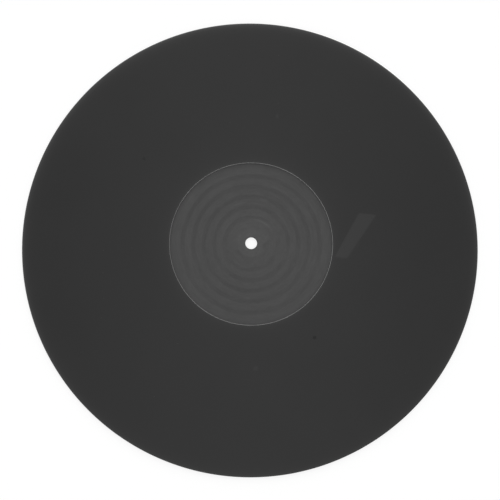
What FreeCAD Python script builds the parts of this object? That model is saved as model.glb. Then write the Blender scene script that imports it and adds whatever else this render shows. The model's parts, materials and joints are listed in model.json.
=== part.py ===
# Turntable mat: one disc of black cast acrylic that lies on a record player's platter.
# Its top has a shallow milled recess for the record's label and a hole for the spindle.
# Frame: origin at the centre of the underside, +Z up through the spindle hole, millimetres.

import FreeCAD, Part
import math
import os

# The blank, cut from polished sheet
DISC_DIAMETER = 295.0
DISC_THICKNESS = 3.0
RIM_BEVEL = 0.3

# The label recess, milled with a flat end mill, wider all round than a record's label
LABEL_DIAMETER = 100.0
LABEL_CLEARANCE = 5.5
RECESS_DEPTH = 1.0
RECESS_EDGE_BEVEL = 0.25
RECESS_FOOT_ROUND = 0.3

# The spindle hole, wider than a record player's spindle
SPINDLE_DIAMETER = 7.24
SPINDLE_CLEARANCE = 0.4
HOLE_BEVEL = 0.2

# The cutter's rounds: each one overlaps the last, and the overlap is cut a little deeper
CUTTER_DIAMETER = 10.0
CUTTER_STEP = 6.8
LAP_DEPTH = 0.05
LAP_EDGE_CLEARANCE = 0.6

# Places worked out from the sizes
DISC_RADIUS = DISC_DIAMETER / 2
RECESS_RADIUS = (LABEL_DIAMETER + LABEL_CLEARANCE) / 2
FLOOR_Z = DISC_THICKNESS - RECESS_DEPTH
HOLE_RADIUS = (SPINDLE_DIAMETER + SPINDLE_CLEARANCE) / 2
LAP_WIDTH = CUTTER_DIAMETER - CUTTER_STEP


def point(radius, height):
    """A point of the half section, which lies in the XZ plane."""
    return FreeCAD.Vector(radius, 0, height)


def line(start, end):
    return Part.LineSegment(point(*start), point(*end)).toShape()


def arc(start, middle, end):
    return Part.Arc(point(*start), point(*middle), point(*end)).toShape()


def foot_arc(centre, radius):
    """The quarter circle that the cutter's corner leaves, from the wall down to the floor."""
    slant = radius * math.sqrt(0.5)
    on_wall = (centre[0] + radius, centre[1])
    between = (centre[0] + slant, centre[1] - slant)
    on_floor = (centre[0], centre[1] - radius)
    return arc(on_wall, between, on_floor)


def lap_radii():
    """Middle radius of each overlap between two rounds of the cutter, from the wall inwards."""
    innermost = HOLE_RADIUS + HOLE_BEVEL + LAP_EDGE_CLEARANCE + LAP_WIDTH / 2
    outer_round = RECESS_RADIUS - CUTTER_DIAMETER / 2
    radius = outer_round - CUTTER_STEP / 2
    radii = []
    while radius > innermost:
        radii.append(radius)
        radius -= CUTTER_STEP
    return radii


def recess_floor(start_radius, end_radius):
    """The milled floor from the foot of the wall in to the hole, with a shallow arc at each overlap."""
    edges = []
    reached = start_radius
    for middle in lap_radii():
        outer = middle + LAP_WIDTH / 2
        inner = middle - LAP_WIDTH / 2
        edges.append(line((reached, FLOOR_Z), (outer, FLOOR_Z)))
        edges.append(arc((outer, FLOOR_Z), (middle, FLOOR_Z - LAP_DEPTH), (inner, FLOOR_Z)))
        reached = inner
    edges.append(line((reached, FLOOR_Z), (end_radius, FLOOR_Z)))
    return edges


def half_section():
    """The mat's section on one side of its axis, followed anticlockwise from the hole's lower edge."""
    hole_mouth = HOLE_RADIUS + HOLE_BEVEL
    rim_flat = DISC_RADIUS - RIM_BEVEL
    rim_top = DISC_THICKNESS - RIM_BEVEL
    wall_mouth = RECESS_RADIUS + RECESS_EDGE_BEVEL
    wall_top = DISC_THICKNESS - RECESS_EDGE_BEVEL
    wall_foot = RECESS_RADIUS - RECESS_FOOT_ROUND
    foot_top = FLOOR_Z + RECESS_FOOT_ROUND
    hole_top = FLOOR_Z - HOLE_BEVEL

    edges = []
    edges.append(line((hole_mouth, 0), (rim_flat, 0)))
    edges.append(line((rim_flat, 0), (DISC_RADIUS, RIM_BEVEL)))
    edges.append(line((DISC_RADIUS, RIM_BEVEL), (DISC_RADIUS, rim_top)))
    edges.append(line((DISC_RADIUS, rim_top), (rim_flat, DISC_THICKNESS)))
    edges.append(line((rim_flat, DISC_THICKNESS), (wall_mouth, DISC_THICKNESS)))
    edges.append(line((wall_mouth, DISC_THICKNESS), (RECESS_RADIUS, wall_top)))
    edges.append(line((RECESS_RADIUS, wall_top), (RECESS_RADIUS, foot_top)))
    edges.append(foot_arc((wall_foot, foot_top), RECESS_FOOT_ROUND))
    edges.extend(recess_floor(wall_foot, hole_mouth))
    edges.append(line((hole_mouth, FLOOR_Z), (HOLE_RADIUS, hole_top)))
    edges.append(line((HOLE_RADIUS, hole_top), (HOLE_RADIUS, HOLE_BEVEL)))
    edges.append(line((HOLE_RADIUS, HOLE_BEVEL), (hole_mouth, 0)))
    return edges


def mat():
    """The section turned a full turn about the spindle's axis."""
    outline = Part.Wire(half_section())
    section = Part.Face(outline)
    return section.revolve(FreeCAD.Vector(0, 0, 0), FreeCAD.Vector(0, 0, 1), 360)


os.makedirs("parts", exist_ok=True)
solid = mat()
solid.exportStep("parts/mat.step")

print("valid:", solid.isValid(), "type:", solid.ShapeType, "closed:", solid.isClosed())
print("volume, cubic centimetres:", round(solid.Volume / 1000, 3))
print("overlap radii, millimetres:", [round(radius, 2) for radius in lap_radii()])
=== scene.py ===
# %% [markdown]
# # A turntable mat of black acrylic
#
# The object is one disc, cut from polished black sheet. It lies on a record player's platter and
# carries the record. The middle of its top is milled away by a millimetre, so that the record's
# thick label has room, and the spindle comes up through a hole.
#
# A solid from the maker's drawing is loaded first. It has the true sizes, but its round edges are
# made of straight facets, which a polished surface shows at once. So the disc is turned again here
# from the same section, much finer, and every surface gets the finish that its tool left.

# %% Load the solid model
import json
import math

import bmesh
import bpy
from mathutils import Matrix, Vector


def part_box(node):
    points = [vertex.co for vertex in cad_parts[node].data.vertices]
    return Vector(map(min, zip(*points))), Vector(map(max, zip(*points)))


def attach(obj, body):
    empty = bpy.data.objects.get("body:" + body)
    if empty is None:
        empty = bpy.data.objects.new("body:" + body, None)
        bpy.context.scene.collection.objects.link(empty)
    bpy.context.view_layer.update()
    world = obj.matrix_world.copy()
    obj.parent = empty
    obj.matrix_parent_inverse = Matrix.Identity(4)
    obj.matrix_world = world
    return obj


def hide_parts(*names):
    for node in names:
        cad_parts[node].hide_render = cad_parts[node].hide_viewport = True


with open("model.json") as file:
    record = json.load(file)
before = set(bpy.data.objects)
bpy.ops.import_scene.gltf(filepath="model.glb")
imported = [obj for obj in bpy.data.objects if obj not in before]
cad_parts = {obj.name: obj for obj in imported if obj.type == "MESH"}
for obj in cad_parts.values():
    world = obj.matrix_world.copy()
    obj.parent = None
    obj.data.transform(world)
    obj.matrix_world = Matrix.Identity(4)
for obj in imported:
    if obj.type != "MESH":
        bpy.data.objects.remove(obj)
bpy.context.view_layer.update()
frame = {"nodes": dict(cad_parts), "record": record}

# %% [markdown]
# ## Sizes
#
# The solid model says how wide and thick the disc is, and its list of mounts says how wide the
# spindle hole and the recess are. The height of the milled floor is read from the solid's own
# points. Only what the maker chose for the tools is a number here: the bevels, the corner that the
# cutter leaves, and the rounds that the cutter runs. Each round overlaps the last one, and the
# overlap is cut twice, so it lies a little deeper and shines a little more.

# %% Sizes of the mat
MM = 0.001

record = frame["record"]
mounts = {mount["name"]: mount for mount in record["mounts"]}
mat_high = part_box("mat")[1]
DISC_RADIUS = max(mat_high.x, mat_high.y)
TOP_Z = mat_high.z
HOLE_RADIUS = mounts["spindle_hole"]["dims"]["r_mm"] * MM
RECESS_RADIUS = mounts["label_recess"]["dims"]["r_mm"] * MM

# Well away from the hole's edge and from the foot of the wall
floor_heights = []
for vertex in frame["nodes"]["mat"].data.vertices:
    if 2 * HOLE_RADIUS < vertex.co.xy.length < 0.9 * RECESS_RADIUS:
        floor_heights.append(vertex.co.z)
FLOOR_Z = max(floor_heights)

RIM_BEVEL = 0.3 * MM
RECESS_BEVEL = 0.25 * MM
HOLE_BEVEL = 0.2 * MM
FOOT_ROUND = 0.3 * MM
EASE = 0.05 * MM  # how far each bevel's two corners are softened

CUTTER_DIAMETER = 10.0 * MM
CUTTER_STEP = 6.8 * MM
LAP_DEPTH = 0.05 * MM
LAP_WIDTH = CUTTER_DIAMETER - CUTTER_STEP
LAP_CLEARANCE = 0.6 * MM
FIRST_ROUND = RECESS_RADIUS - CUTTER_DIAMETER / 2

print("radius, top, floor:", round(DISC_RADIUS, 5), round(TOP_Z, 5), round(FLOOR_Z, 5))
print("hole and recess radius:", HOLE_RADIUS, RECESS_RADIUS)

# %% [markdown]
# ## The turned body
#
# A lathe part is quickest to model as the lathe makes it: draw half of the section, then spin it
# about the axis. The section is a closed chain of edges in the XZ plane. Its corners are sharp at
# first. A bevel of the chain's corner points then eases them, because a real edge is never a
# perfect line, and a soft edge is what catches the light. Long straight runs get a few points in
# between, so that the spun faces don't become needles.

# %% The half section
def lap_radii():
    """Middle radius of each overlap between two rounds of the cutter, from the wall inwards."""
    innermost = HOLE_RADIUS + HOLE_BEVEL + LAP_CLEARANCE + LAP_WIDTH / 2
    radius = FIRST_ROUND - CUTTER_STEP / 2
    radii = []
    while radius > innermost:
        radii.append(radius)
        radius -= CUTTER_STEP
    return radii


def lap_points(middle, steps=8):
    """A shallow arc across one overlap, from its outer edge to its inner edge."""
    points = []
    for step in range(steps + 1):
        share = 1 - 2 * step / steps
        points.append((middle + share * LAP_WIDTH / 2, FLOOR_Z - LAP_DEPTH * (1 - share * share)))
    return points


def foot_points(steps=4):
    """The quarter round at the foot of the recess wall, from the wall to the floor."""
    centre_radius = RECESS_RADIUS - FOOT_ROUND
    centre_z = FLOOR_Z + FOOT_ROUND
    points = []
    for step in range(steps + 1):
        turn = math.radians(90) * step / steps
        across = FOOT_ROUND * math.cos(turn)
        down = FOOT_ROUND * math.sin(turn)
        points.append((centre_radius + across, centre_z - down))
    return points


def run_between(start, end, count):
    """Points that divide a straight run, without its ends."""
    points = []
    for step in range(1, count):
        share = step / count
        points.append((start[0] + share * (end[0] - start[0]), start[1] + share * (end[1] - start[1])))
    return points


hole_mouth = HOLE_RADIUS + HOLE_BEVEL
rim_flat = DISC_RADIUS - RIM_BEVEL
recess_mouth = RECESS_RADIUS + RECESS_BEVEL

corners = [
    (hole_mouth, 0.0),
    (rim_flat, 0.0),
    (DISC_RADIUS, RIM_BEVEL),
    (DISC_RADIUS, TOP_Z - RIM_BEVEL),
    (rim_flat, TOP_Z),
    (recess_mouth, TOP_Z),
    (RECESS_RADIUS, TOP_Z - RECESS_BEVEL),
]
hole_corners = [
    (hole_mouth, FLOOR_Z),
    (HOLE_RADIUS, FLOOR_Z - HOLE_BEVEL),
    (HOLE_RADIUS, HOLE_BEVEL),
]
laps = lap_radii()
print("overlaps at, mm:", [round(radius / MM, 2) for radius in laps])

# %% Spin the section into a mesh
AROUND = 720  # faces round the disc
RUNS = 8  # faces across each wide flat
WIDE_FLATS = (0, 4)  # the corners where a wide flat starts: the underside's and the face's
EASE_STEPS = 2  # faces across each softened corner
MERGE_WITHIN = 0.0005 * MM
FULL_TURN = math.radians(360)
CUBIC_CENTIMETRE = 1e-6


def section_chain(body):
    """Puts the closed section into a bmesh and returns the vertices of its sharp corners."""
    chain = []
    for index, corner in enumerate(corners):
        chain.append((corner, True))
        if index in WIDE_FLATS:
            chain += [(point, False) for point in run_between(corner, corners[index + 1], RUNS)]
    chain += [(point, False) for point in foot_points()]
    for middle in laps:
        chain += [(point, False) for point in lap_points(middle)]
    chain += [(point, True) for point in hole_corners]
    vertices = []
    sharp = []
    for (radius, height), is_sharp in chain:
        vertex = body.verts.new((radius, 0.0, height))
        vertices.append(vertex)
        if is_sharp:
            sharp.append(vertex)
    for one, other in zip(vertices, vertices[1:] + vertices[:1]):
        body.edges.new((one, other))
    return sharp


def turned_mesh():
    """The section, eased and spun once round the axis, as a closed mesh."""
    body = bmesh.new()
    sharp = section_chain(body)
    bmesh.ops.bevel(body, geom=sharp, affect="VERTICES", offset=EASE, offset_type="OFFSET",
                    segments=EASE_STEPS, profile=0.5, material=-1)
    print("points in the section:", len(body.verts))
    bmesh.ops.spin(body, geom=body.verts[:] + body.edges[:], cent=(0, 0, 0), axis=(0, 0, 1),
                   angle=FULL_TURN, steps=AROUND, use_merge=True)
    bmesh.ops.remove_doubles(body, verts=body.verts[:], dist=MERGE_WITHIN)
    bmesh.ops.recalc_face_normals(body, faces=body.faces[:])
    mesh = bpy.data.meshes.new("acrylic_mat")
    body.to_mesh(mesh)
    volume = body.calc_volume()
    open_edges = sum(1 for edge in body.edges if not edge.is_manifold)
    body.free()
    print("faces:", len(mesh.polygons), "open edges:", open_edges)
    print("volume, cubic centimetres:", round(volume / CUBIC_CENTIMETRE, 3))
    return mesh


mat_mesh = turned_mesh()
mat = bpy.data.objects.new("acrylic_mat", mat_mesh)
bpy.context.scene.collection.objects.link(mat)

# %% [markdown]
# ## Six finishes on one body
#
# The disc is a single piece, but different tools made its surfaces. The two faces are the sheet's
# own polish. The recess floor was milled, and so was the wall round it. The rim and the hole's wall
# were cut with the side of a finer cutter. The edge round the recess was scraped, which leaves
# acrylic whitish, and the outer edges and those of the hole were buffed until they were smooth to
# the hand. Each face of the mesh gets its material from where it lies: how far from the axis, how
# high, and how steep.

# %% Sort the faces by the tool that made them
POLISHED, MILLED, WALL, CUT, SCRAPED, BUFFED = range(6)
STEEP, SLANTED = 0.3, 0.95  # a wall's normal is less upright than the first, a bevel's than the second


def finish_of(face):
    """Which of the six finishes a face has."""
    radius = face.center.xy.length
    uprightness = abs(face.normal.z)
    on_recess_foot = hole_mouth + EASE < radius < RECESS_RADIUS - EASE
    near_recess = RECESS_RADIUS / 2 < radius < RECESS_RADIUS * 2
    if uprightness < STEEP:
        return WALL if near_recess else CUT
    if uprightness < SLANTED and not on_recess_foot:
        return SCRAPED if near_recess else BUFFED
    if radius < RECESS_RADIUS and face.center.z > FLOOR_Z / 2:
        return MILLED
    return POLISHED


counts = [0] * 6
for face in mat_mesh.polygons:
    face.material_index = finish_of(face)
    counts[face.material_index] += 1
mat_mesh.shade_smooth()
print("faces polished, milled, wall, cut, scraped, buffed:", counts)

# %% [markdown]
# Smooth shading blends the light over the corner between two faces. On a disc this flat that would
# tilt the light near every edge of the wide faces. The Weighted Normal modifier lets the wide face
# decide the direction at its own corners, and the narrow bevel does all the turning.

# %% Keep the wide faces flat in the light
weighted = mat.modifiers.new("flat_faces_decide", "WEIGHTED_NORMAL")
weighted.mode = "FACE_AREA"
weighted.weight = 50
print("modifiers:", [modifier.name for modifier in mat.modifiers])

# %% [markdown]
# ## Helpers for node trees
#
# Materials are built from nodes in code. A few small helpers keep that readable. The first two add
# a node and set its inputs, where an input is either a number or another node's output. The others
# are for arithmetic, for vectors, for mapping a range onto another, for noise, for adding up the
# layers of a finish and for bump.

# %% Node helpers
PER_METRE = 1 / MM  # object coordinates are in metres, and the patterns think in millimetres


def fill(tree, node, inputs):
    """Sets each named or numbered input to its value, or wires it to another node's output."""
    for name, value in inputs.items():
        if isinstance(value, bpy.types.NodeSocket):
            tree.links.new(value, node.inputs[name])
        else:
            node.inputs[name].default_value = value
    return node


def add_node(tree, kind, inputs=None, **settings):
    """A node of that kind, with its settings and inputs."""
    node = tree.nodes.new(kind)
    for name, value in settings.items():
        setattr(node, name, value)
    return fill(tree, node, inputs or {})


def arithmetic(tree, operation, *values):
    """The output of a Math node."""
    return add_node(tree, "ShaderNodeMath", dict(enumerate(values)), operation=operation).outputs[0]


def vectors(tree, operation, *values):
    """The vector output of a Vector Math node."""
    node = add_node(tree, "ShaderNodeVectorMath", dict(enumerate(values)), operation=operation)
    return node.outputs["Vector"]


def measured(tree, operation, *values):
    """The number that a Vector Math node gives, such as a length or a dot product."""
    node = add_node(tree, "ShaderNodeVectorMath", dict(enumerate(values)), operation=operation)
    return node.outputs["Value"]


def combined(tree, **parts):
    """A vector made of its parts X, Y and Z. A part that isn't given is zero."""
    return add_node(tree, "ShaderNodeCombineXYZ", parts).outputs["Vector"]


def ramp(tree, value, low, high, to_low=0.0, to_high=1.0, shape="SMOOTHSTEP"):
    """Maps low..high onto to_low..to_high, held at both ends."""
    inputs = {"Value": value, "From Min": low, "From Max": high, "To Min": to_low, "To Max": to_high}
    return add_node(tree, "ShaderNodeMapRange", inputs, interpolation_type=shape).outputs["Result"]


def noise(tree, vector, scale, detail=2.0):
    """Soft random values about zero, mostly within a quarter either way."""
    inputs = {"Vector": vector, "Scale": scale, "Detail": detail}
    found = add_node(tree, "ShaderNodeTexNoise", inputs, noise_dimensions="3D").outputs["Fac"]
    return arithmetic(tree, "SUBTRACT", found, 0.5)


def grey(tree, value):
    """A grey colour of that value."""
    inputs = {"Red": value, "Green": value, "Blue": value}
    return add_node(tree, "ShaderNodeCombineColor", inputs).outputs["Color"]


def add_layers(tree, start, layers, strengths):
    """Adds layers to a value, each of them times the strength that goes by its name."""
    value = start
    for name, strength in strengths.items():
        value = arithmetic(tree, "MULTIPLY_ADD", layers[name], strength, value)
    return value


def add_bump(tree, shader, height, strength, depth):
    """Tilts the light on a surface by a height, where one unit of it is that deep in metres."""
    inputs = {"Height": height, "Strength": strength, "Distance": depth}
    bump = add_node(tree, "ShaderNodeBump", inputs)
    fill(tree, shader, {"Normal": bump.outputs["Normal"]})


print("helpers ready")

# %% [markdown]
# An effect that several materials share is built once, as a node group with named sockets, and
# placed in each material with its own values.

# %% Group helpers
FLOAT, VECTOR = "NodeSocketFloat", "NodeSocketVector"


def new_group(name, inputs, outputs):
    """An empty shader node group with named sockets. Returns it, what it is given and what it gives."""
    group = bpy.data.node_groups.new(name, "ShaderNodeTree")
    for socket, kind in inputs.items():
        group.interface.new_socket(socket, in_out="INPUT", socket_type=kind)
    for socket, kind in outputs.items():
        group.interface.new_socket(socket, in_out="OUTPUT", socket_type=kind)
    given = group.nodes.new("NodeGroupInput").outputs
    gives = group.nodes.new("NodeGroupOutput")
    return group, given, gives


def use_group(tree, group, inputs):
    """Places a group in a tree, fills its inputs and returns its outputs."""
    node = tree.nodes.new("ShaderNodeGroup")
    node.node_tree = group
    return fill(tree, node, inputs).outputs


print("group helpers ready")

# %% [markdown]
# ## Effects that several finishes share
#
# Everything on this object runs round one axis, so most patterns need to know how far a point is
# from the axis and in which direction it lies. The first group works both out, in millimetres. It
# also gives a stretched space in which plain noise turns into streaks that run round the disc: the
# distance is scaled up and the direction is scaled down. A direction has no seam, which an angle
# would have.

# %% Group: place on a turned part
def turned_place_group():
    group, given, gives = new_group(
        "turned_place",
        {"Position": VECTOR, "Streaks Per Millimetre": FLOAT, "Streaks Around": FLOAT},
        {"Radius": FLOAT, "Direction": VECTOR, "Streak Space": VECTOR})
    flat = vectors(group, "MULTIPLY", given["Position"], (PER_METRE, PER_METRE, 0.0))
    radius = measured(group, "LENGTH", flat)
    direction = vectors(group, "NORMALIZE", flat)
    around = add_node(group, "ShaderNodeVectorMath",
                      {0: direction, "Scale": given["Streaks Around"]}, operation="SCALE")
    outwards = arithmetic(group, "MULTIPLY", radius, given["Streaks Per Millimetre"])
    streaks = vectors(group, "ADD", around.outputs["Vector"], combined(group, Z=outwards))
    fill(group, gives, {"Radius": radius, "Direction": direction, "Streak Space": streaks})
    return group


turned_place = turned_place_group()
print("group:", turned_place.name)

# %% [markdown]
# A band beside a cut edge is dense at the edge and thins out quickly. One group gives it as a mask
# from the distance to the edge, with a little noise, so that the band isn't perfectly even. On the
# polished face it carries a painted glow beside the rim and a paler band beside the recess; on the
# milled floor, painted shade at the foot of the recess wall.

# %% Group: a band beside a cut edge, for painted glow and painted shade
def edge_band_group():
    group, given, gives = new_group(
        "edge_band",
        {"Radius": FLOAT, "Edge": FLOAT, "Reach": FLOAT, "Streak Space": VECTOR, "Unevenness": FLOAT},
        {"Closeness": FLOAT})
    away = arithmetic(group, "ABSOLUTE", arithmetic(group, "SUBTRACT", given["Radius"], given["Edge"]))
    near = arithmetic(group, "DIVIDE", given["Reach"], arithmetic(group, "ADD", given["Reach"], away))
    dense = arithmetic(group, "MULTIPLY", near, near)
    uneven = arithmetic(group, "MULTIPLY_ADD", noise(group, given["Streak Space"], scale=1.0),
                        given["Unevenness"], 1.0)
    fill(group, gives, {"Closeness": arithmetic(group, "MULTIPLY", dense, uneven)})
    return group


edge_band = edge_band_group()


def band_beside(tree, place, edge, reach, unevenness):
    """The band beside an edge of that radius in metres, for a reach in millimetres."""
    inputs = {"Radius": place["Radius"], "Edge": edge / MM, "Reach": reach,
              "Streak Space": place["Streak Space"], "Unevenness": unevenness}
    return use_group(tree, edge_band, inputs)["Closeness"]


print("group:", edge_band.name)

# %% [markdown]
# Some marks are single ones: a nick in the polish, or an arc that the cutter left where it stopped.
# This group gives one soft spot at a given radius and direction. The spot can be long along the
# round and narrow across it, which makes it an arc.

# %% Group: one mark at one place
MARK_CORE = 0.3  # the share of its half width and half length within which a mark is full


def single_mark_group():
    group, given, gives = new_group(
        "single_mark",
        {"Radius": FLOAT, "Direction": VECTOR, "At Radius": FLOAT, "Towards": VECTOR,
         "Half Width": FLOAT, "Half Length": FLOAT},
        {"Mark": FLOAT})
    across = arithmetic(group, "DIVIDE",
                        arithmetic(group, "SUBTRACT", given["Radius"], given["At Radius"]),
                        given["Half Width"])
    apart = vectors(group, "SUBTRACT", given["Direction"], given["Towards"])
    chord = measured(group, "LENGTH", apart)
    along = arithmetic(group, "DIVIDE",
                       arithmetic(group, "MULTIPLY", chord, given["At Radius"]), given["Half Length"])
    distance = measured(group, "LENGTH", combined(group, X=across, Y=along))
    fill(group, gives, {"Mark": ramp(group, distance, MARK_CORE, 1.0, 1.0, 0.0)})
    return group


single_mark = single_mark_group()
FAR = 90  # degrees: the far side of the disc, as the camera sees it


def heading(degrees):
    """The direction in the disc's plane at that angle."""
    return (math.cos(math.radians(degrees)), math.sin(math.radians(degrees)), 0.0)


def facing(tree, place, degrees):
    """The cosine of the angle between the place's direction and a fixed one."""
    return measured(tree, "DOT_PRODUCT", place["Direction"], heading(degrees))


def add_marks(tree, place, marks, start):
    """Adds marks to a value. Each is a radius, an angle, a half width, a half length and a strength."""
    value = start
    for radius, degrees, half_width, half_length, strength in marks:
        mark = use_group(tree, single_mark,
                         {"Radius": place["Radius"], "Direction": place["Direction"],
                          "At Radius": radius, "Towards": heading(degrees),
                          "Half Width": half_width, "Half Length": half_length})["Mark"]
        value = arithmetic(tree, "MULTIPLY_ADD", mark, strength, value)
    return value


print("group:", single_mark.name)

# %% [markdown]
# Black gloss shows every grain of dust. Voronoi cells give scattered points, and only a few of the
# cells carry a grain, each of its own size.

# %% Group: grains of dust
def dust_group():
    group, given, gives = new_group(
        "dust",
        {"Position": VECTOR, "Cell Size": FLOAT, "Share Of Cells": FLOAT, "Grain Size": FLOAT},
        {"Grain": FLOAT})
    scale = arithmetic(group, "DIVIDE", PER_METRE, given["Cell Size"])
    cells = add_node(group, "ShaderNodeTexVoronoi",
                     {"Vector": given["Position"], "Scale": scale, "Randomness": 1.0},
                     voronoi_dimensions="2D", feature="F1").outputs
    luck = add_node(group, "ShaderNodeSeparateColor", {"Color": cells["Color"]}).outputs
    away = arithmetic(group, "MULTIPLY", cells["Distance"], given["Cell Size"])
    size = arithmetic(group, "MULTIPLY", given["Grain Size"], luck["Green"])
    inside = arithmetic(group, "LESS_THAN", away, size)
    chosen = arithmetic(group, "LESS_THAN", luck["Red"], given["Share Of Cells"])
    fill(group, gives, {"Grain": arithmetic(group, "MULTIPLY", inside, chosen)})
    return group


dust = dust_group()
DUSTY_CELLS, BIGGEST_GRAIN = 0.2, 0.25  # the share of cells with a grain, its radius in millimetres


def grains_of_dust(tree, position, cell_size):
    """Grains of dust in cells of that size in millimetres."""
    inputs = {"Position": position, "Cell Size": cell_size, "Share Of Cells": DUSTY_CELLS,
              "Grain Size": BIGGEST_GRAIN}
    return use_group(tree, dust, inputs)["Grain"]


print("group:", dust.name)

# %% [markdown]
# Fine scratches are noise that has been drawn out along one direction until it becomes threads,
# and then cut so high that only the thinnest crests are left. Three directions cross each other,
# and a broad patchy mask keeps each thread short.

# %% Group: hairline scratches
THREAD_DIRECTIONS = (17, 74, 131)  # degrees
THREAD_CREST = 0.35  # the noise at which a thread has its full strength
MASK_SCALE = 40.0
MASK_STARTS, MASK_FULL = -0.05, 0.15  # the noise at which the mask starts and is full


def hairline_group():
    group, given, gives = new_group(
        "hairlines",
        {"Position": VECTOR, "Length": FLOAT, "Width": FLOAT, "Rarity": FLOAT},
        {"Scratch": FLOAT})
    along = arithmetic(group, "DIVIDE", PER_METRE, given["Length"])
    across = arithmetic(group, "DIVIDE", PER_METRE, given["Width"])
    stretch = combined(group, X=along, Y=across)
    found = 0.0
    for degrees in THREAD_DIRECTIONS:
        turned = add_node(group, "ShaderNodeVectorRotate",
                          {"Vector": given["Position"], "Angle": math.radians(degrees)},
                          rotation_type="Z_AXIS").outputs["Vector"]
        threads = noise(group, vectors(group, "MULTIPLY", turned, stretch), scale=1.0, detail=0.0)
        crest = ramp(group, threads, given["Rarity"], THREAD_CREST)
        found = arithmetic(group, "MAXIMUM", found, crest)
    broad = noise(group, given["Position"], scale=MASK_SCALE, detail=1.0)
    patches = ramp(group, broad, MASK_STARTS, MASK_FULL)
    fill(group, gives, {"Scratch": arithmetic(group, "MULTIPLY", found, patches)})
    return group


hairlines = hairline_group()
print("group:", hairlines.name)

# %% [markdown]
# ## Polished black acrylic
#
# Black acrylic has almost no colour of its own: what one sees is the room in its polish, about four
# parts in a hundred of it when seen from above. So the base colour is nearly black and the surface
# is smooth, with the index of refraction of acrylic, 1.49. The detail is in what disturbs that
# polish: a painted glow beside the rim, stronger at the far side, a paler band beside the recess,
# the haze of wiping, dust, a few hairlines and nicks, and the very slight swell that a cast sheet
# always has, which bends reflections by a trace.

# %% Material: polished face
ACRYLIC_IOR = 1.49
BLACK = 0.0039
# a painted glow beside the rim, and a paler band beside the recess
FACE_BANDS = {  # the edge that they lie beside, their reach in millimetres
    "rim glow": (DISC_RADIUS, 1.3),
    "rim wide glow": (DISC_RADIUS, 8.0),
    # the face is paler beside the recess edge, in a narrow band and a wide one
    "recess band": (RECESS_RADIUS, 2.0),
    "recess wide band": (RECESS_RADIUS, 16.0),
}
BAND_UNEVENNESS = 0.5
RIM_GLOW_MOST, RIM_GLOW_MORE = 100, 0.6  # painted light: degrees where the rim glow is strongest, and by what share
FACE_GREYS = {  # what each layer adds to the black
    # the two rim layers are painted glow
    "rim glow": 0.066,
    "rim wide glow": 0.0032,
    "recess band": 0.012,
    "recess wide band": 0.0031,
    "wiping": 0.004,
    "hairlines": 0.004,
    "grains": 0.03,
}
FACE_SPECKS = (  # pale: radius, angle, half width, half length, strength
    (80.1, -88.0, 2.1, 2.4, 0.0080),
    (85.7, 78.5, 2.1, 1.6, 0.0090),
)
FACE_NICKS = (  # dull nicks in the polish
    (72.9, -56.3, 1.9, 2.0, 0.60),
    (89.1, 141.7, 1.8, 1.7, 0.50),
)
WIPED_WELL, WIPED_BADLY = -0.1, 0.2  # in the noise of the wiping
SMOOTHEST, DULLEST = 0.010, 0.030  # the roughness of each
FACE_ROUGHENING = {"rim glow": 0.25, "grains": 0.4, "nicks": 0.9}
HAIRLINE_HEIGHT = -0.15  # for the swell's one
FACE_BUMP, FACE_BUMP_DEPTH = 0.35, 0.02 * MM


def start_material(name, shown_value, per_millimetre, around):
    """A material with a fresh shader, for a finish whose streaks are that fine and that short.

    Returns it, its tree, the shader, the object coordinates and the place on the turned part.
    """
    material = bpy.data.materials.new(name)
    material.use_nodes = True
    material.diffuse_color = (shown_value, shown_value, shown_value, 1.0)
    tree = material.node_tree
    tree.nodes.clear()
    shader = add_node(tree, "ShaderNodeBsdfPrincipled", {"IOR": ACRYLIC_IOR})
    add_node(tree, "ShaderNodeOutputMaterial", {"Surface": shader.outputs["BSDF"]})
    position = add_node(tree, "ShaderNodeTexCoord").outputs["Object"]
    place = use_group(tree, turned_place,
                      {"Position": position, "Streaks Per Millimetre": per_millimetre,
                       "Streaks Around": around})
    return material, tree, shader, position, place


def polished_material():
    material, tree, shader, position, place = start_material(
        "polished_acrylic", BLACK, per_millimetre=0.5, around=4.0)
    layers = {}
    for name, (edge, reach) in FACE_BANDS.items():
        layers[name] = band_beside(tree, place, edge, reach, BAND_UNEVENNESS)
    # the painted rim glow is stronger towards the far side
    rim_glow_side = arithmetic(tree, "MULTIPLY_ADD", facing(tree, place, RIM_GLOW_MOST), RIM_GLOW_MORE, 1.0)
    layers["rim glow"] = arithmetic(tree, "MULTIPLY", layers["rim glow"], rim_glow_side)
    layers["grains"] = grains_of_dust(tree, position, cell_size=16.0)
    layers["hairlines"] = use_group(tree, hairlines,
                                    {"Position": position, "Length": 30.0, "Width": 0.25,
                                     "Rarity": 0.24})["Scratch"]
    layers["wiping"] = noise(tree, position, scale=22.0, detail=3.0)
    layers["nicks"] = add_marks(tree, place, FACE_NICKS, 0.0)

    value = add_layers(tree, BLACK, layers, FACE_GREYS)
    value = add_marks(tree, place, FACE_SPECKS, value)
    value = arithmetic(tree, "MULTIPLY", value, arithmetic(tree, "SUBTRACT", 1.0, layers["nicks"]))
    fill(tree, shader, {"Base Color": grey(tree, value)})

    rough = ramp(tree, layers["wiping"], WIPED_WELL, WIPED_BADLY, SMOOTHEST, DULLEST)
    rough = add_layers(tree, rough, layers, FACE_ROUGHENING)
    fill(tree, shader, {"Roughness": rough})

    swell = noise(tree, position, scale=18.0, detail=1.0)
    height = arithmetic(tree, "MULTIPLY_ADD", layers["hairlines"], HAIRLINE_HEIGHT, swell)
    add_bump(tree, shader, height, FACE_BUMP, FACE_BUMP_DEPTH)
    return material


polished = polished_material()
print("material:", polished.name, "nodes:", len(polished.node_tree.nodes))

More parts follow.
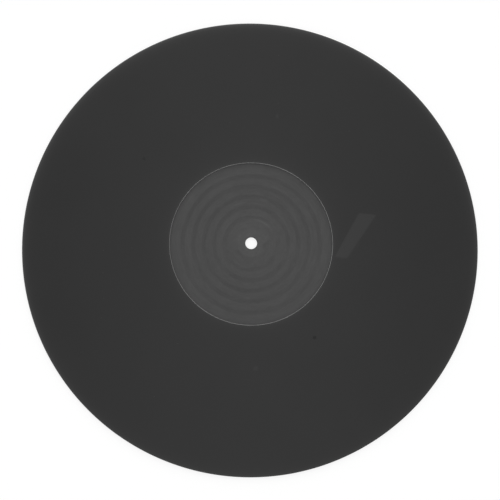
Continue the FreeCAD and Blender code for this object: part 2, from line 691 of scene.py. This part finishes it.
# %% [markdown]
# ## The milled floor
#
# The cutter went round in rings. Where two rings overlap, the floor was cut twice and is smoother
# and darker. Just outside each overlap it is palest, and it darkens across the round to the next:
# that is painted shading, as on a round whose floor was cut slightly tilted. Close up, the end of the
# cutter leaves small arcs, one for each turn as it moves along, and those are in the bump: the arcs
# bend with the cutter's radius and repeat with its feed.

# %% Group: marks of the cutter's rounds
LAP_STARTS, LAP_FULL = 1.3, 0.4  # in half overlaps: where its dark starts and where it is full


def cutter_marks_group():
    group, given, gives = new_group(
        "cutter_marks",
        {"Radius": FLOAT, "Direction": VECTOR, "First Round": FLOAT, "Step": FLOAT,
         "Cutter Radius": FLOAT, "Feed": FLOAT},
        {"Across": FLOAT, "Lap": FLOAT, "Arcs": FLOAT})
    inwards = arithmetic(group, "SUBTRACT", given["First Round"], given["Radius"])
    rounds_in = arithmetic(group, "DIVIDE", inwards, given["Step"])
    nearest = arithmetic(group, "MAXIMUM", arithmetic(group, "ROUND", rounds_in), 0.0)
    across = arithmetic(group, "SUBTRACT", nearest, rounds_in)

    reach = arithmetic(group, "DIVIDE", given["Cutter Radius"], given["Step"])
    half_lap = arithmetic(group, "SUBTRACT", reach, 0.5)
    starts = arithmetic(group, "MULTIPLY_ADD", half_lap, -LAP_STARTS, 0.5)
    is_full = arithmetic(group, "MULTIPLY_ADD", half_lap, -LAP_FULL, 0.5)
    near_middle = ramp(group, arithmetic(group, "ABSOLUTE", across), starts, is_full)
    has_neighbour = arithmetic(group, "GREATER_THAN", inwards, 0.0)
    lap = arithmetic(group, "MULTIPLY", near_middle, has_neighbour)

    off_middle = arithmetic(group, "MULTIPLY", across, given["Step"])
    room = arithmetic(group, "SUBTRACT",
                      arithmetic(group, "POWER", given["Cutter Radius"], 2.0),
                      arithmetic(group, "MULTIPLY", off_middle, off_middle))
    ahead = arithmetic(group, "SQRT", arithmetic(group, "MAXIMUM", room, 0.0))
    per_feed = arithmetic(group, "DIVIDE", FULL_TURN, given["Feed"])
    round_radius = arithmetic(group, "SUBTRACT", given["First Round"],
                              arithmetic(group, "MULTIPLY", nearest, given["Step"]))
    marks_in_round = arithmetic(group, "ROUND", arithmetic(group, "MULTIPLY", round_radius, per_feed))
    parts = add_node(group, "ShaderNodeSeparateXYZ", {"Vector": given["Direction"]}).outputs
    angle = arithmetic(group, "ARCTAN2", parts["Y"], parts["X"])
    phase = arithmetic(group, "SUBTRACT", arithmetic(group, "MULTIPLY", angle, marks_in_round),
                       arithmetic(group, "MULTIPLY", ahead, per_feed))
    fill(group, gives, {"Across": across, "Lap": lap, "Arcs": arithmetic(group, "SINE", phase)})
    return group


cutter_marks = cutter_marks_group()
print("group:", cutter_marks.name)

# %% [markdown]
# The rings aren't equally clear all the way round, nor perfectly round. How clear they are round
# the disc is painted sheen and shade: they are strongest towards the far left and come and go at a
# few angles. They fade towards the hole, where the cutter turned tightly and left the floor paler.
# They wobble, they lie a trace off centre, and the outermost lies further out at the near right.
# The single marks are where the cutter started, paused and stopped.

# %% The rings and where they show
FEED = 0.45  # millimetres that the cutter moves in one turn
RING_CONTRAST = 1.40
SHEEN_CLEAREST, SHEEN_CLEARER_BY = 125, 0.25  # painted sheen: degrees where the rings are strongest, and by how much
RING_FADE = (8.0, 22.0, 0.35, 1.0)  # towards the hole: two radii, and the share left at each
RING_SHEEN_CHANGES = (  # painted sheen and shade that come and go: angle, half width, flat half width, change
    (12, 24, 8, 0.25),
    (98, 36, 10, -0.20),
    (180, 24, 8, -0.25),
    (212, 30, 12, -0.40),
    (255, 34, 10, 0.50),
    (343, 20, 8, -0.45),
)
RING_WOBBLE, OFF_CENTRE = 0.75, 0.2  # millimetres
OUTERMOST = (39.5, 43.0)  # the radii between which the outermost round's shift begins
NEAR_RIGHT, OUTER_SHIFT = 290, 0.42  # degrees: where that round lies further out, and how far
SHIFT_REACH = (-0.1, 0.5)  # the cosines from there between which the shift grows


def ring_strength(tree, place):
    """How clearly the overlaps show at a place, with painted sheen and shade round the disc."""
    clearest = facing(tree, place, SHEEN_CLEAREST)
    strength = arithmetic(tree, "MULTIPLY_ADD", clearest, SHEEN_CLEARER_BY, RING_CONTRAST)
    for degrees, half_width, flat_half_width, change in RING_SHEEN_CHANGES:
        here = ramp(tree, facing(tree, place, degrees),
                    math.cos(math.radians(half_width)), math.cos(math.radians(flat_half_width)))
        strength = arithmetic(tree, "MULTIPLY_ADD", here, change, strength)
    return arithmetic(tree, "MULTIPLY", strength, ramp(tree, place["Radius"], *RING_FADE))


def pattern_radius(tree, place, position):
    """The distance from the axis as the rings see it: they wobble, and lie a little off centre."""
    soft = noise(tree, position, scale=40.0, detail=0.0)
    wobble = arithmetic(tree, "MULTIPLY_ADD", soft, RING_WOBBLE, place["Radius"])
    shifted = arithmetic(tree, "MULTIPLY_ADD", facing(tree, place, FAR), OFF_CENTRE, wobble)
    outermost = ramp(tree, place["Radius"], *OUTERMOST)
    near_right = ramp(tree, facing(tree, place, NEAR_RIGHT), *SHIFT_REACH)
    pushed_out = arithmetic(tree, "MULTIPLY", outermost, near_right)
    return arithmetic(tree, "MULTIPLY_ADD", pushed_out, -OUTER_SHIFT, shifted)


print("changes of the rings round the disc:", len(RING_SHEEN_CHANGES))

# %% [markdown]
# The floor's grey is built up in layers. First come the overlaps, the painted shading across each
# round, the painted shade at the foot of the wall and the painted shadow along the far wall, then the
# paler floor near the hole with a painted sheen towards the far side, and then the streaks, clouds
# and flecks that every milled surface has, with dust and the single marks on top.

# %% Material: milled floor
MILLED_BASE, MILLED_ROUGHNESS = 0.0592, 0.52
SHADOW_STARTS, SHADOW_FULL = 4.0, 1.6  # millimetres from the wall: the painted shadow band along the far side
# painted shade at the foot of the wall: its reach and unevenness
FOOT_REACH, FOOT_UNEVENNESS = 1.6, 0.4
FOOT_SHADE_NEAR = 0.5  # the painted foot shade's strength at the near side, for one at the left and right
MARK_AND_SHADE_GREYS = {  # what the overlaps add to the floor's grey, and the painted shading, shade and shadow
    "overlaps": -0.0097,
    "tilt shade": -0.0032,
    "foot shade": -0.0105,
    "far wall shadow": -0.0085,
}
TIGHT_TURNS = (7.5, 13.0, 0.0085, 0.0)  # near the hole: two radii, and what is added at each
INNER_ROUNDS = (18.0, 30.0, 0.0032, 0.0)
INNER_SHEEN = (13.0, 20.0, 0.0030, 0.0)  # painted sheen, added at the far side and taken off at the near one
SURFACE_GREYS = {  # what the rest adds
    "streaks": 0.024,
    "fine streaks": 0.023,
    "clouds": 0.012,
    "flecks": 0.005,
    "grains": 0.03,
}
RING_BREAKS = {"clouds": 1.8, "flecks": 1.2}  # what breaks up the overlaps
FLOOR_ROUGHENING = {"overlaps": -0.10, "streaks": 0.10}
STREAK_HEIGHT = 1.5  # for the feed arcs' one
FLOOR_BUMP, FLOOR_BUMP_DEPTH = 0.5, 0.008 * MM
FLOOR_MARKS = (  # radius, angle, half width, half length, strength
    (5.5, 110, 1.8, 4.5, 0.0080),
    (8.0, 268, 1.4, 4.5, 0.0045),
    (8.6, 347, 1.4, 3.2, -0.0110),
    (9.3, 157, 3.0, 4.5, 0.0050),
    (9.6, 357, 1.6, 2.0, -0.0070),
    (9.9, 219, 1.5, 3.4, -0.0110),
    (10.6, 18, 2.6, 2.4, 0.0070),
    (10.8, 40, 2.2, 6.5, 0.0045),
    (11.5, 105, 1.8, 9.0, 0.0040),
    (14.9, 30, 1.4, 3.5, 0.0045),
    (15.0, 113, 1.3, 4.5, -0.0045),
    (15.7, 62, 0.95, 10.5, 0.0165),
    (16.1, 248, 1.4, 8.5, 0.0080),
    (17.4, 33, 2.0, 12.0, 0.0080),
    (18.5, 80, 1.1, 9.0, 0.0040),
    (19.0, 212, 2.2, 8.0, -0.0045),
    (20.5, 348, 1.8, 5.0, -0.0045),
    (24.0, 338, 1.6, 9.0, 0.0030),
    (25.0, 40, 1.8, 14.0, 0.0050),
    (27.0, 112, 1.0, 9.0, 0.0070),
    (27.5, 86, 1.8, 6.0, -0.0050),
    (29.4, 73, 1.2, 4.5, 0.0130),
    (31.5, 126, 1.6, 9.0, 0.0045),
    (32.2, 34, 1.8, 8.0, 0.0045),
    (33.2, 66, 1.8, 10.0, -0.0050),
    (39.0, 66, 1.8, 12.0, 0.0045),
    (39.2, 236, 1.8, 9.0, -0.0045),
    (46.5, 322, 3.5, 13.0, -0.0045),
    (48.5, 48, 3.0, 24.0, -0.0050),
)


def milled_material():
    material, tree, shader, position, place = start_material(
        "milled_acrylic", MILLED_BASE, per_millimetre=0.6, around=4.0)
    marks = use_group(tree, cutter_marks,
                      {"Radius": pattern_radius(tree, place, position), "Direction": place["Direction"],
                       "First Round": FIRST_ROUND / MM, "Step": CUTTER_STEP / MM,
                       "Cutter Radius": CUTTER_DIAMETER / 2 / MM, "Feed": FEED})

    # painted shadow along the far wall, and painted shade at the foot of the wall elsewhere
    towards_far = facing(tree, place, FAR)
    far_side = ramp(tree, towards_far, 0.0, 1.0, shape="LINEAR")
    wall_radius = RECESS_RADIUS / MM
    beside_wall = ramp(tree, place["Radius"], wall_radius - SHADOW_STARTS, wall_radius - SHADOW_FULL)
    at_foot = band_beside(tree, place, RECESS_RADIUS, FOOT_REACH, FOOT_UNEVENNESS)
    foot_level = ramp(tree, towards_far, -1.0, 0.0, FOOT_SHADE_NEAR, 1.0)
    elsewhere = arithmetic(tree, "SUBTRACT", foot_level, far_side)
    layers = {
        "far wall shadow": arithmetic(tree, "MULTIPLY", beside_wall, far_side),
        "foot shade": arithmetic(tree, "MULTIPLY", at_foot, elsewhere),
        "streaks": noise(tree, place["Streak Space"], scale=1.0, detail=4.0),
        "fine streaks": noise(tree, place["Streak Space"], scale=3.0, detail=3.0),
        "clouds": noise(tree, position, scale=60.0, detail=3.0),
        "flecks": noise(tree, position, scale=220.0),
        "grains": grains_of_dust(tree, position, cell_size=11.0),
    }
    uneven = add_layers(tree, ring_strength(tree, place), layers, RING_BREAKS)
    layers["overlaps"] = arithmetic(tree, "MULTIPLY", marks["Lap"], uneven)
    # painted shading across each round, as on a slightly tilted cut
    once_cut = arithmetic(tree, "SUBTRACT", 1.0, marks["Lap"])
    layers["tilt shade"] = arithmetic(tree, "MULTIPLY", marks["Across"], once_cut)
    tight_turns = ramp(tree, place["Radius"], *TIGHT_TURNS)
    inner_rounds = ramp(tree, place["Radius"], *INNER_ROUNDS)
    inner_sheen = ramp(tree, place["Radius"], *INNER_SHEEN)

    value = add_layers(tree, MILLED_BASE, layers, MARK_AND_SHADE_GREYS)
    value = arithmetic(tree, "ADD", arithmetic(tree, "ADD", tight_turns, inner_rounds), value)
    # painted sheen on the inner floor, paler towards the far side
    value = arithmetic(tree, "MULTIPLY_ADD", inner_sheen, towards_far, value)
    value = add_layers(tree, value, layers, SURFACE_GREYS)
    value = add_marks(tree, place, FLOOR_MARKS, value)
    fill(tree, shader, {"Base Color": grey(tree, value),
                        "Roughness": add_layers(tree, MILLED_ROUGHNESS, layers, FLOOR_ROUGHENING)})

    height = arithmetic(tree, "MULTIPLY_ADD", layers["streaks"], STREAK_HEIGHT, marks["Arcs"])
    add_bump(tree, shader, height, FLOOR_BUMP, FLOOR_BUMP_DEPTH)
    return material


milled = milled_material()
print("material:", milled.name, "nodes:", len(milled.node_tree.nodes))

# %% [markdown]
# ## Cut walls
#
# The side of the cutter leaves a satin wall with fine lines that run round the disc and a faint
# upright chatter across them. Both are noise: one is stretched along the wall, the other is
# stretched upwards. The wall round the recess is as coarse as the floor that it was milled with, so
# it is paler than the rim and the hole. It is palest at the far side, which is painted light.

# %% Materials: milled wall and cut walls
LINES_PER_MILLIMETRE = 9
WALL_SHARES = {"lines": 0.6, "chatter": 0.3}  # of the wall's own grey
WALL_ROUGHNESS, LINE_ROUGHNESS = 0.38, 0.2
WALL_BUMP, WALL_BUMP_DEPTH = 0.5, 0.03 * MM


def wall_material(name, base, side_light):
    """A wall cut with the side of a cutter, made paler at the far side by painted light, by the given
    share.
    """
    material, tree, shader, position, place = start_material(name, base, per_millimetre=1.0, around=90.0)
    height_up = add_node(tree, "ShaderNodeSeparateXYZ", {"Vector": position}).outputs["Z"]
    levels = combined(tree, Z=arithmetic(tree, "MULTIPLY", height_up, LINES_PER_MILLIMETRE * PER_METRE))
    lines = noise(tree, vectors(tree, "ADD", place["Direction"], levels), scale=1.0)
    chatter = noise(tree, place["Streak Space"], scale=1.0, detail=1.0)

    greys = {layer: share * base for layer, share in WALL_SHARES.items()}
    value = add_layers(tree, base, {"lines": lines, "chatter": chatter}, greys)
    side_lighting = ramp(tree, facing(tree, place, FAR), 0.0, 1.0, 1.0, 1.0 + side_light)
    value = arithmetic(tree, "MULTIPLY", value, side_lighting)
    rough = arithmetic(tree, "MULTIPLY_ADD", lines, LINE_ROUGHNESS, WALL_ROUGHNESS)
    fill(tree, shader, {"Base Color": grey(tree, value), "Roughness": rough})
    add_bump(tree, shader, arithmetic(tree, "ADD", lines, chatter), WALL_BUMP, WALL_BUMP_DEPTH)
    return material


# painted light: the far side of the milled wall is three times as pale
wall = wall_material("milled_wall", base=0.16, side_light=2.0)
cut = wall_material("cut_acrylic", base=0.030, side_light=0.0)
print("materials:", wall.name, cut.name, "nodes:", len(cut.node_tree.nodes))

# %% [markdown]
# ## Scraped and buffed edges
#
# The edge round the recess is the palest thing on the object, and it shows as one thin bright line.
# That paleness is partly the whitish tone of scraped acrylic and partly a painted highlight of the
# edge catching the light. The scraper bit into the lower part of the bevel, less high at the far side
# than at the near one. The other edges were buffed after they were eased, so they are nearly as dark
# as the face. Each edge is paler on one side, which is painted light. The two differ only in their
# values, so one function makes both.

# %% Materials: scraped and buffed edges
EDGE_STREAKS = 0.6  # as a share of the edge's own grey
STREAK_ROUGHNESS = 0.2
UNSCRAPED, BITE_BLEND = 0.2, 0.1  # the grey above the scraped part, and how softly that ends
EDGE_BUMP, EDGE_BUMP_DEPTH = 0.4, 0.03 * MM


def edge_material(name, base, roughness, side_light, towards, bite=None):
    """An eased edge, made paler towards one side by painted light. A bite is the share of the bevel that
    was scraped.
    """
    material, tree, shader, _, place = start_material(name, base, per_millimetre=6.0, around=7.0)
    streaks = noise(tree, place["Streak Space"], scale=1.0, detail=4.0)
    side_lighting = arithmetic(tree, "MULTIPLY_ADD", facing(tree, place, towards), side_light, 1.0)
    value = arithmetic(tree, "MULTIPLY_ADD", streaks, EDGE_STREAKS * base, base)
    value = arithmetic(tree, "MULTIPLY", value, side_lighting)
    if bite:
        share = arithmetic(tree, "MULTIPLY_ADD", facing(tree, place, bite["deepest"]),
                           bite["varies"], bite["share"])
        up_bevel = arithmetic(tree, "DIVIDE",
                              arithmetic(tree, "SUBTRACT", place["Radius"], RECESS_RADIUS / MM),
                              RECESS_BEVEL / MM)
        above = arithmetic(tree, "SUBTRACT", up_bevel, share)
        kept = ramp(tree, above, -BITE_BLEND, BITE_BLEND, 1.0, UNSCRAPED)
        value = arithmetic(tree, "MULTIPLY", value, kept)
    rough = arithmetic(tree, "MULTIPLY_ADD", streaks, STREAK_ROUGHNESS, roughness)
    fill(tree, shader, {"Base Color": grey(tree, value), "Roughness": rough})
    add_bump(tree, shader, streaks, EDGE_BUMP, EDGE_BUMP_DEPTH)
    return material


# the scraped edge's paleness is partly a painted highlight; both edges are paler on one side by painted
# light
scraped = edge_material("scraped_edge_highlight", base=0.43, roughness=0.5, side_light=0.35, towards=100,
                        bite={"share": 0.60, "varies": 0.34, "deepest": 290})
buffed = edge_material("buffed_edge", base=0.065, roughness=0.3, side_light=0.75, towards=150)
for material in (polished, milled, wall, cut, scraped, buffed):
    mat_mesh.materials.append(material)
print("material slots:", [material.name for material in mat_mesh.materials])

# %% [markdown]
# ## Joining the frame
#
# The turned disc rides on the solid model's only body and stands for its node, so the faceted solid
# is hidden.

# %% Ride on the body and replace the solid
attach(mat, "root")
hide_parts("mat")
print("rides on root, replaces mat")

# %% [markdown]
# ## Floor
#
# The ground is plain white. Light Path tells which ray asks: the camera and reflections see a floor
# that glows a little by itself and is therefore white, and still keeps the disc's soft shadow. Rays
# that only carry light from surface to surface see plain pale paper, so the floor adds no more light
# to the object than paper would. From below it is clear, so that the underside can be looked at.

# %% White floor
FLOOR_HALF = 4.0
FLOOR_GAP = 0.02 * MM
WHITE = (1.0, 1.0, 1.0, 1.0)
PAPER = (0.8, 0.8, 0.8, 1.0)  # what the light from surface to surface sees
SHADED = (0.30, 0.30, 0.30, 1.0)  # what the camera sees: this takes the disc's shadow,
GLOW = 0.775  # and this makes it white


def any_of(tree, rays, *names):
    """1 for a ray of one of the named kinds."""
    asked = rays[names[0]]
    for name in names[1:]:
        asked = arithmetic(tree, "MAXIMUM", asked, rays[name])
    return asked


def floor_material():
    material = bpy.data.materials.new("white_floor")
    material.use_nodes = True
    tree = material.node_tree
    tree.nodes.clear()
    paper = add_node(tree, "ShaderNodeBsdfDiffuse", {"Color": PAPER})
    shaded = add_node(tree, "ShaderNodeBsdfDiffuse", {"Color": SHADED})
    glow = add_node(tree, "ShaderNodeEmission", {"Color": WHITE, "Strength": GLOW})
    seen = add_node(tree, "ShaderNodeAddShader", {0: shaded.outputs[0], 1: glow.outputs[0]})
    rays = add_node(tree, "ShaderNodeLightPath").outputs
    asked = any_of(tree, rays, "Is Camera Ray", "Is Glossy Ray", "Is Transmission Ray")
    chosen = add_node(tree, "ShaderNodeMixShader", {0: asked, 1: paper.outputs[0], 2: seen.outputs[0]})
    clear = add_node(tree, "ShaderNodeBsdfTransparent")
    below = add_node(tree, "ShaderNodeNewGeometry").outputs["Backfacing"]
    sided = add_node(tree, "ShaderNodeMixShader", {0: below, 1: chosen.outputs[0], 2: clear.outputs[0]})
    add_node(tree, "ShaderNodeOutputMaterial", {"Surface": sided.outputs[0]})
    return material


def floor_object():
    body = bmesh.new()
    bmesh.ops.create_grid(body, x_segments=1, y_segments=1, size=FLOOR_HALF,
                          matrix=Matrix.Translation((0.0, 0.0, -FLOOR_GAP)))
    mesh = bpy.data.meshes.new("floor")
    body.to_mesh(mesh)
    body.free()
    mesh.materials.append(floor_material())
    return bpy.data.objects.new("floor", mesh)


floor = floor_object()
bpy.context.scene.collection.objects.link(floor)
print("floor:", 2 * FLOOR_HALF, "metres square")

# %% [markdown]
# ## Sky
#
# A polished black disc is a mirror of what is above it, so the light overhead is half of its look.
# The world is a white tent: brightest a little behind the point overhead, dimming quickly to the
# sides and slowly from front to back, with darker walls. Low behind the disc the tent has one bright
# patch with a soft rim. It is the light with a direction: it draws the thin shadow inside the far
# wall of the recess. Seen from above it stays out of the polish, and from the front it fades into
# the polish without an edge, which a lamp's image would have. Light Path keeps reflections of it
# faint, so that the disc looks black from the front too. The camera itself sees plain white.

# %% World light
TENT_EDGE, TENT_RISE = 0.405, 0.54  # light far from the bright middle, and what the middle adds
MIDDLE = (0.01, 0.15)  # where the middle is, as a direction's X and Y
SPREAD = (0.46, 1.12)  # how far it spreads, sideways and lengthways
SIDE_LEVEL = 0.6  # how bright the tent's sides are for the ceiling's one
SIDE_ENDS, CEILING_STARTS = 0.1, 0.6  # a direction's Z
PATCH_WAY = Vector((0.22, 2.22, 1.34)).normalized()
PATCH_LEVEL = 1.34  # what the patch adds at its middle
PATCH_FULL, PATCH_EDGE = 6, 34  # degrees from its middle: where it starts to dim, and its end
PATCH_IN_GLOSS = 0.35  # the share of it that reflections show


def world_light():
    world = bpy.data.worlds.new("white_tent")
    world.use_nodes = True
    tree = world.node_tree
    tree.nodes.clear()
    way = add_node(tree, "ShaderNodeTexCoord").outputs["Generated"]
    off_middle = vectors(tree, "SUBTRACT", way, (*MIDDLE, 0.0))
    scaled = vectors(tree, "DIVIDE", off_middle, (*SPREAD, 1.0))
    flat = vectors(tree, "MULTIPLY", scaled, (1.0, 1.0, 0.0))
    below_full = arithmetic(tree, "ADD", measured(tree, "DOT_PRODUCT", flat, flat), 1.0)
    ceiling = arithmetic(tree, "ADD", arithmetic(tree, "DIVIDE", TENT_RISE, below_full), TENT_EDGE)
    up = add_node(tree, "ShaderNodeSeparateXYZ", {"Vector": way}).outputs["Z"]
    sides = ramp(tree, up, SIDE_ENDS, CEILING_STARTS, SIDE_LEVEL, 1.0)
    level = arithmetic(tree, "MULTIPLY", ceiling, sides)
    towards_patch = measured(tree, "DOT_PRODUCT", way, PATCH_WAY)
    patch = ramp(tree, towards_patch, math.cos(math.radians(PATCH_EDGE)),
                 math.cos(math.radians(PATCH_FULL)), 0.0, PATCH_LEVEL)
    rays = add_node(tree, "ShaderNodeLightPath").outputs
    kept = ramp(tree, rays["Is Glossy Ray"], 0.0, 1.0, 1.0, PATCH_IN_GLOSS, shape="LINEAR")
    level = arithmetic(tree, "MULTIPLY_ADD", patch, kept, level)
    light = add_node(tree, "ShaderNodeBackground", {"Color": WHITE, "Strength": level})
    white = add_node(tree, "ShaderNodeBackground", {"Color": WHITE, "Strength": 1.0})
    mixed = add_node(tree, "ShaderNodeMixShader",
                     {0: rays["Is Camera Ray"], 1: light.outputs[0], 2: white.outputs[0]})
    add_node(tree, "ShaderNodeOutputWorld", {"Surface": mixed.outputs[0]})
    return world


bpy.context.scene.world = world_light()
print("world:", bpy.context.scene.world.name)

# %% [markdown]
# ## Lamp
#
# The only lamp is a dim strip that hangs nearly overhead and leans. It adds no light worth the
# name: it is there for its own image in the polish, a pale slanted bar to the right of the recess.

# %% Strip lamp
STRIP_PLACE = Vector((0.2524, 0.1081, 1.0))
STRIP_ACROSS = Vector((0.0337, -0.0038, -0.0016))
STRIP_ALONG = Vector((-0.0131, 0.0569, -0.4051))
STRIP_RADIANCE = 0.24


def add_lamp(name, place, turn, size, radiance):
    """Hangs up a rectangular lamp of that radiance. The camera doesn't see it."""
    data = bpy.data.lights.new(name, "AREA")
    data.shape = "RECTANGLE"
    data.size, data.size_y = size
    data.energy = radiance * math.pi * size[0] * size[1]
    made = bpy.data.objects.new(name, data)
    made.location = place
    made.rotation_euler = turn
    made.visible_camera = False
    bpy.context.scene.collection.objects.link(made)
    print(name, "watts:", round(data.energy, 3))


across = STRIP_ACROSS.normalized()
along = STRIP_ALONG.normalized()
strip_turn = Matrix((across, along, across.cross(along))).transposed().to_euler()
strip_size = (STRIP_ACROSS.length, STRIP_ALONG.length)
add_lamp("strip_overhead", STRIP_PLACE, strip_turn, strip_size, STRIP_RADIANCE)

# %% [markdown]
# ## Camera
#
# The three outlines of the disc, the recess and the hole in the picture are ellipses with different
# middles, though on the object they share one axis. That is perspective, and it fixes the camera:
# 39 centimetres above the disc, a few centimetres towards the front, tipped by five degrees.

# %% Camera
FRAME_PIXELS = 500
FOCAL_PIXELS = 600.0
SENSOR_MM = 36.0
CAMERA_PLACE = (-0.00691, -0.03799, 0.38927)
CAMERA_TIP = (math.radians(4.946), math.radians(-0.906), 0.0)

camera_data = bpy.data.cameras.new("camera")
camera_data.sensor_width = SENSOR_MM
camera_data.lens = SENSOR_MM * FOCAL_PIXELS / FRAME_PIXELS
camera = bpy.data.objects.new("camera", camera_data)
camera.location = CAMERA_PLACE
camera.rotation_euler = CAMERA_TIP
bpy.context.scene.collection.objects.link(camera)
bpy.context.scene.camera = camera
print("lens, mm:", round(camera_data.lens, 2))

# %% [markdown]
# ## Last lines
#
# Colours go to the picture as they are, with the Standard view transform. The dressed object must
# stay inside the solid model's box.

bpy.context.scene.view_settings.view_transform = "Standard"
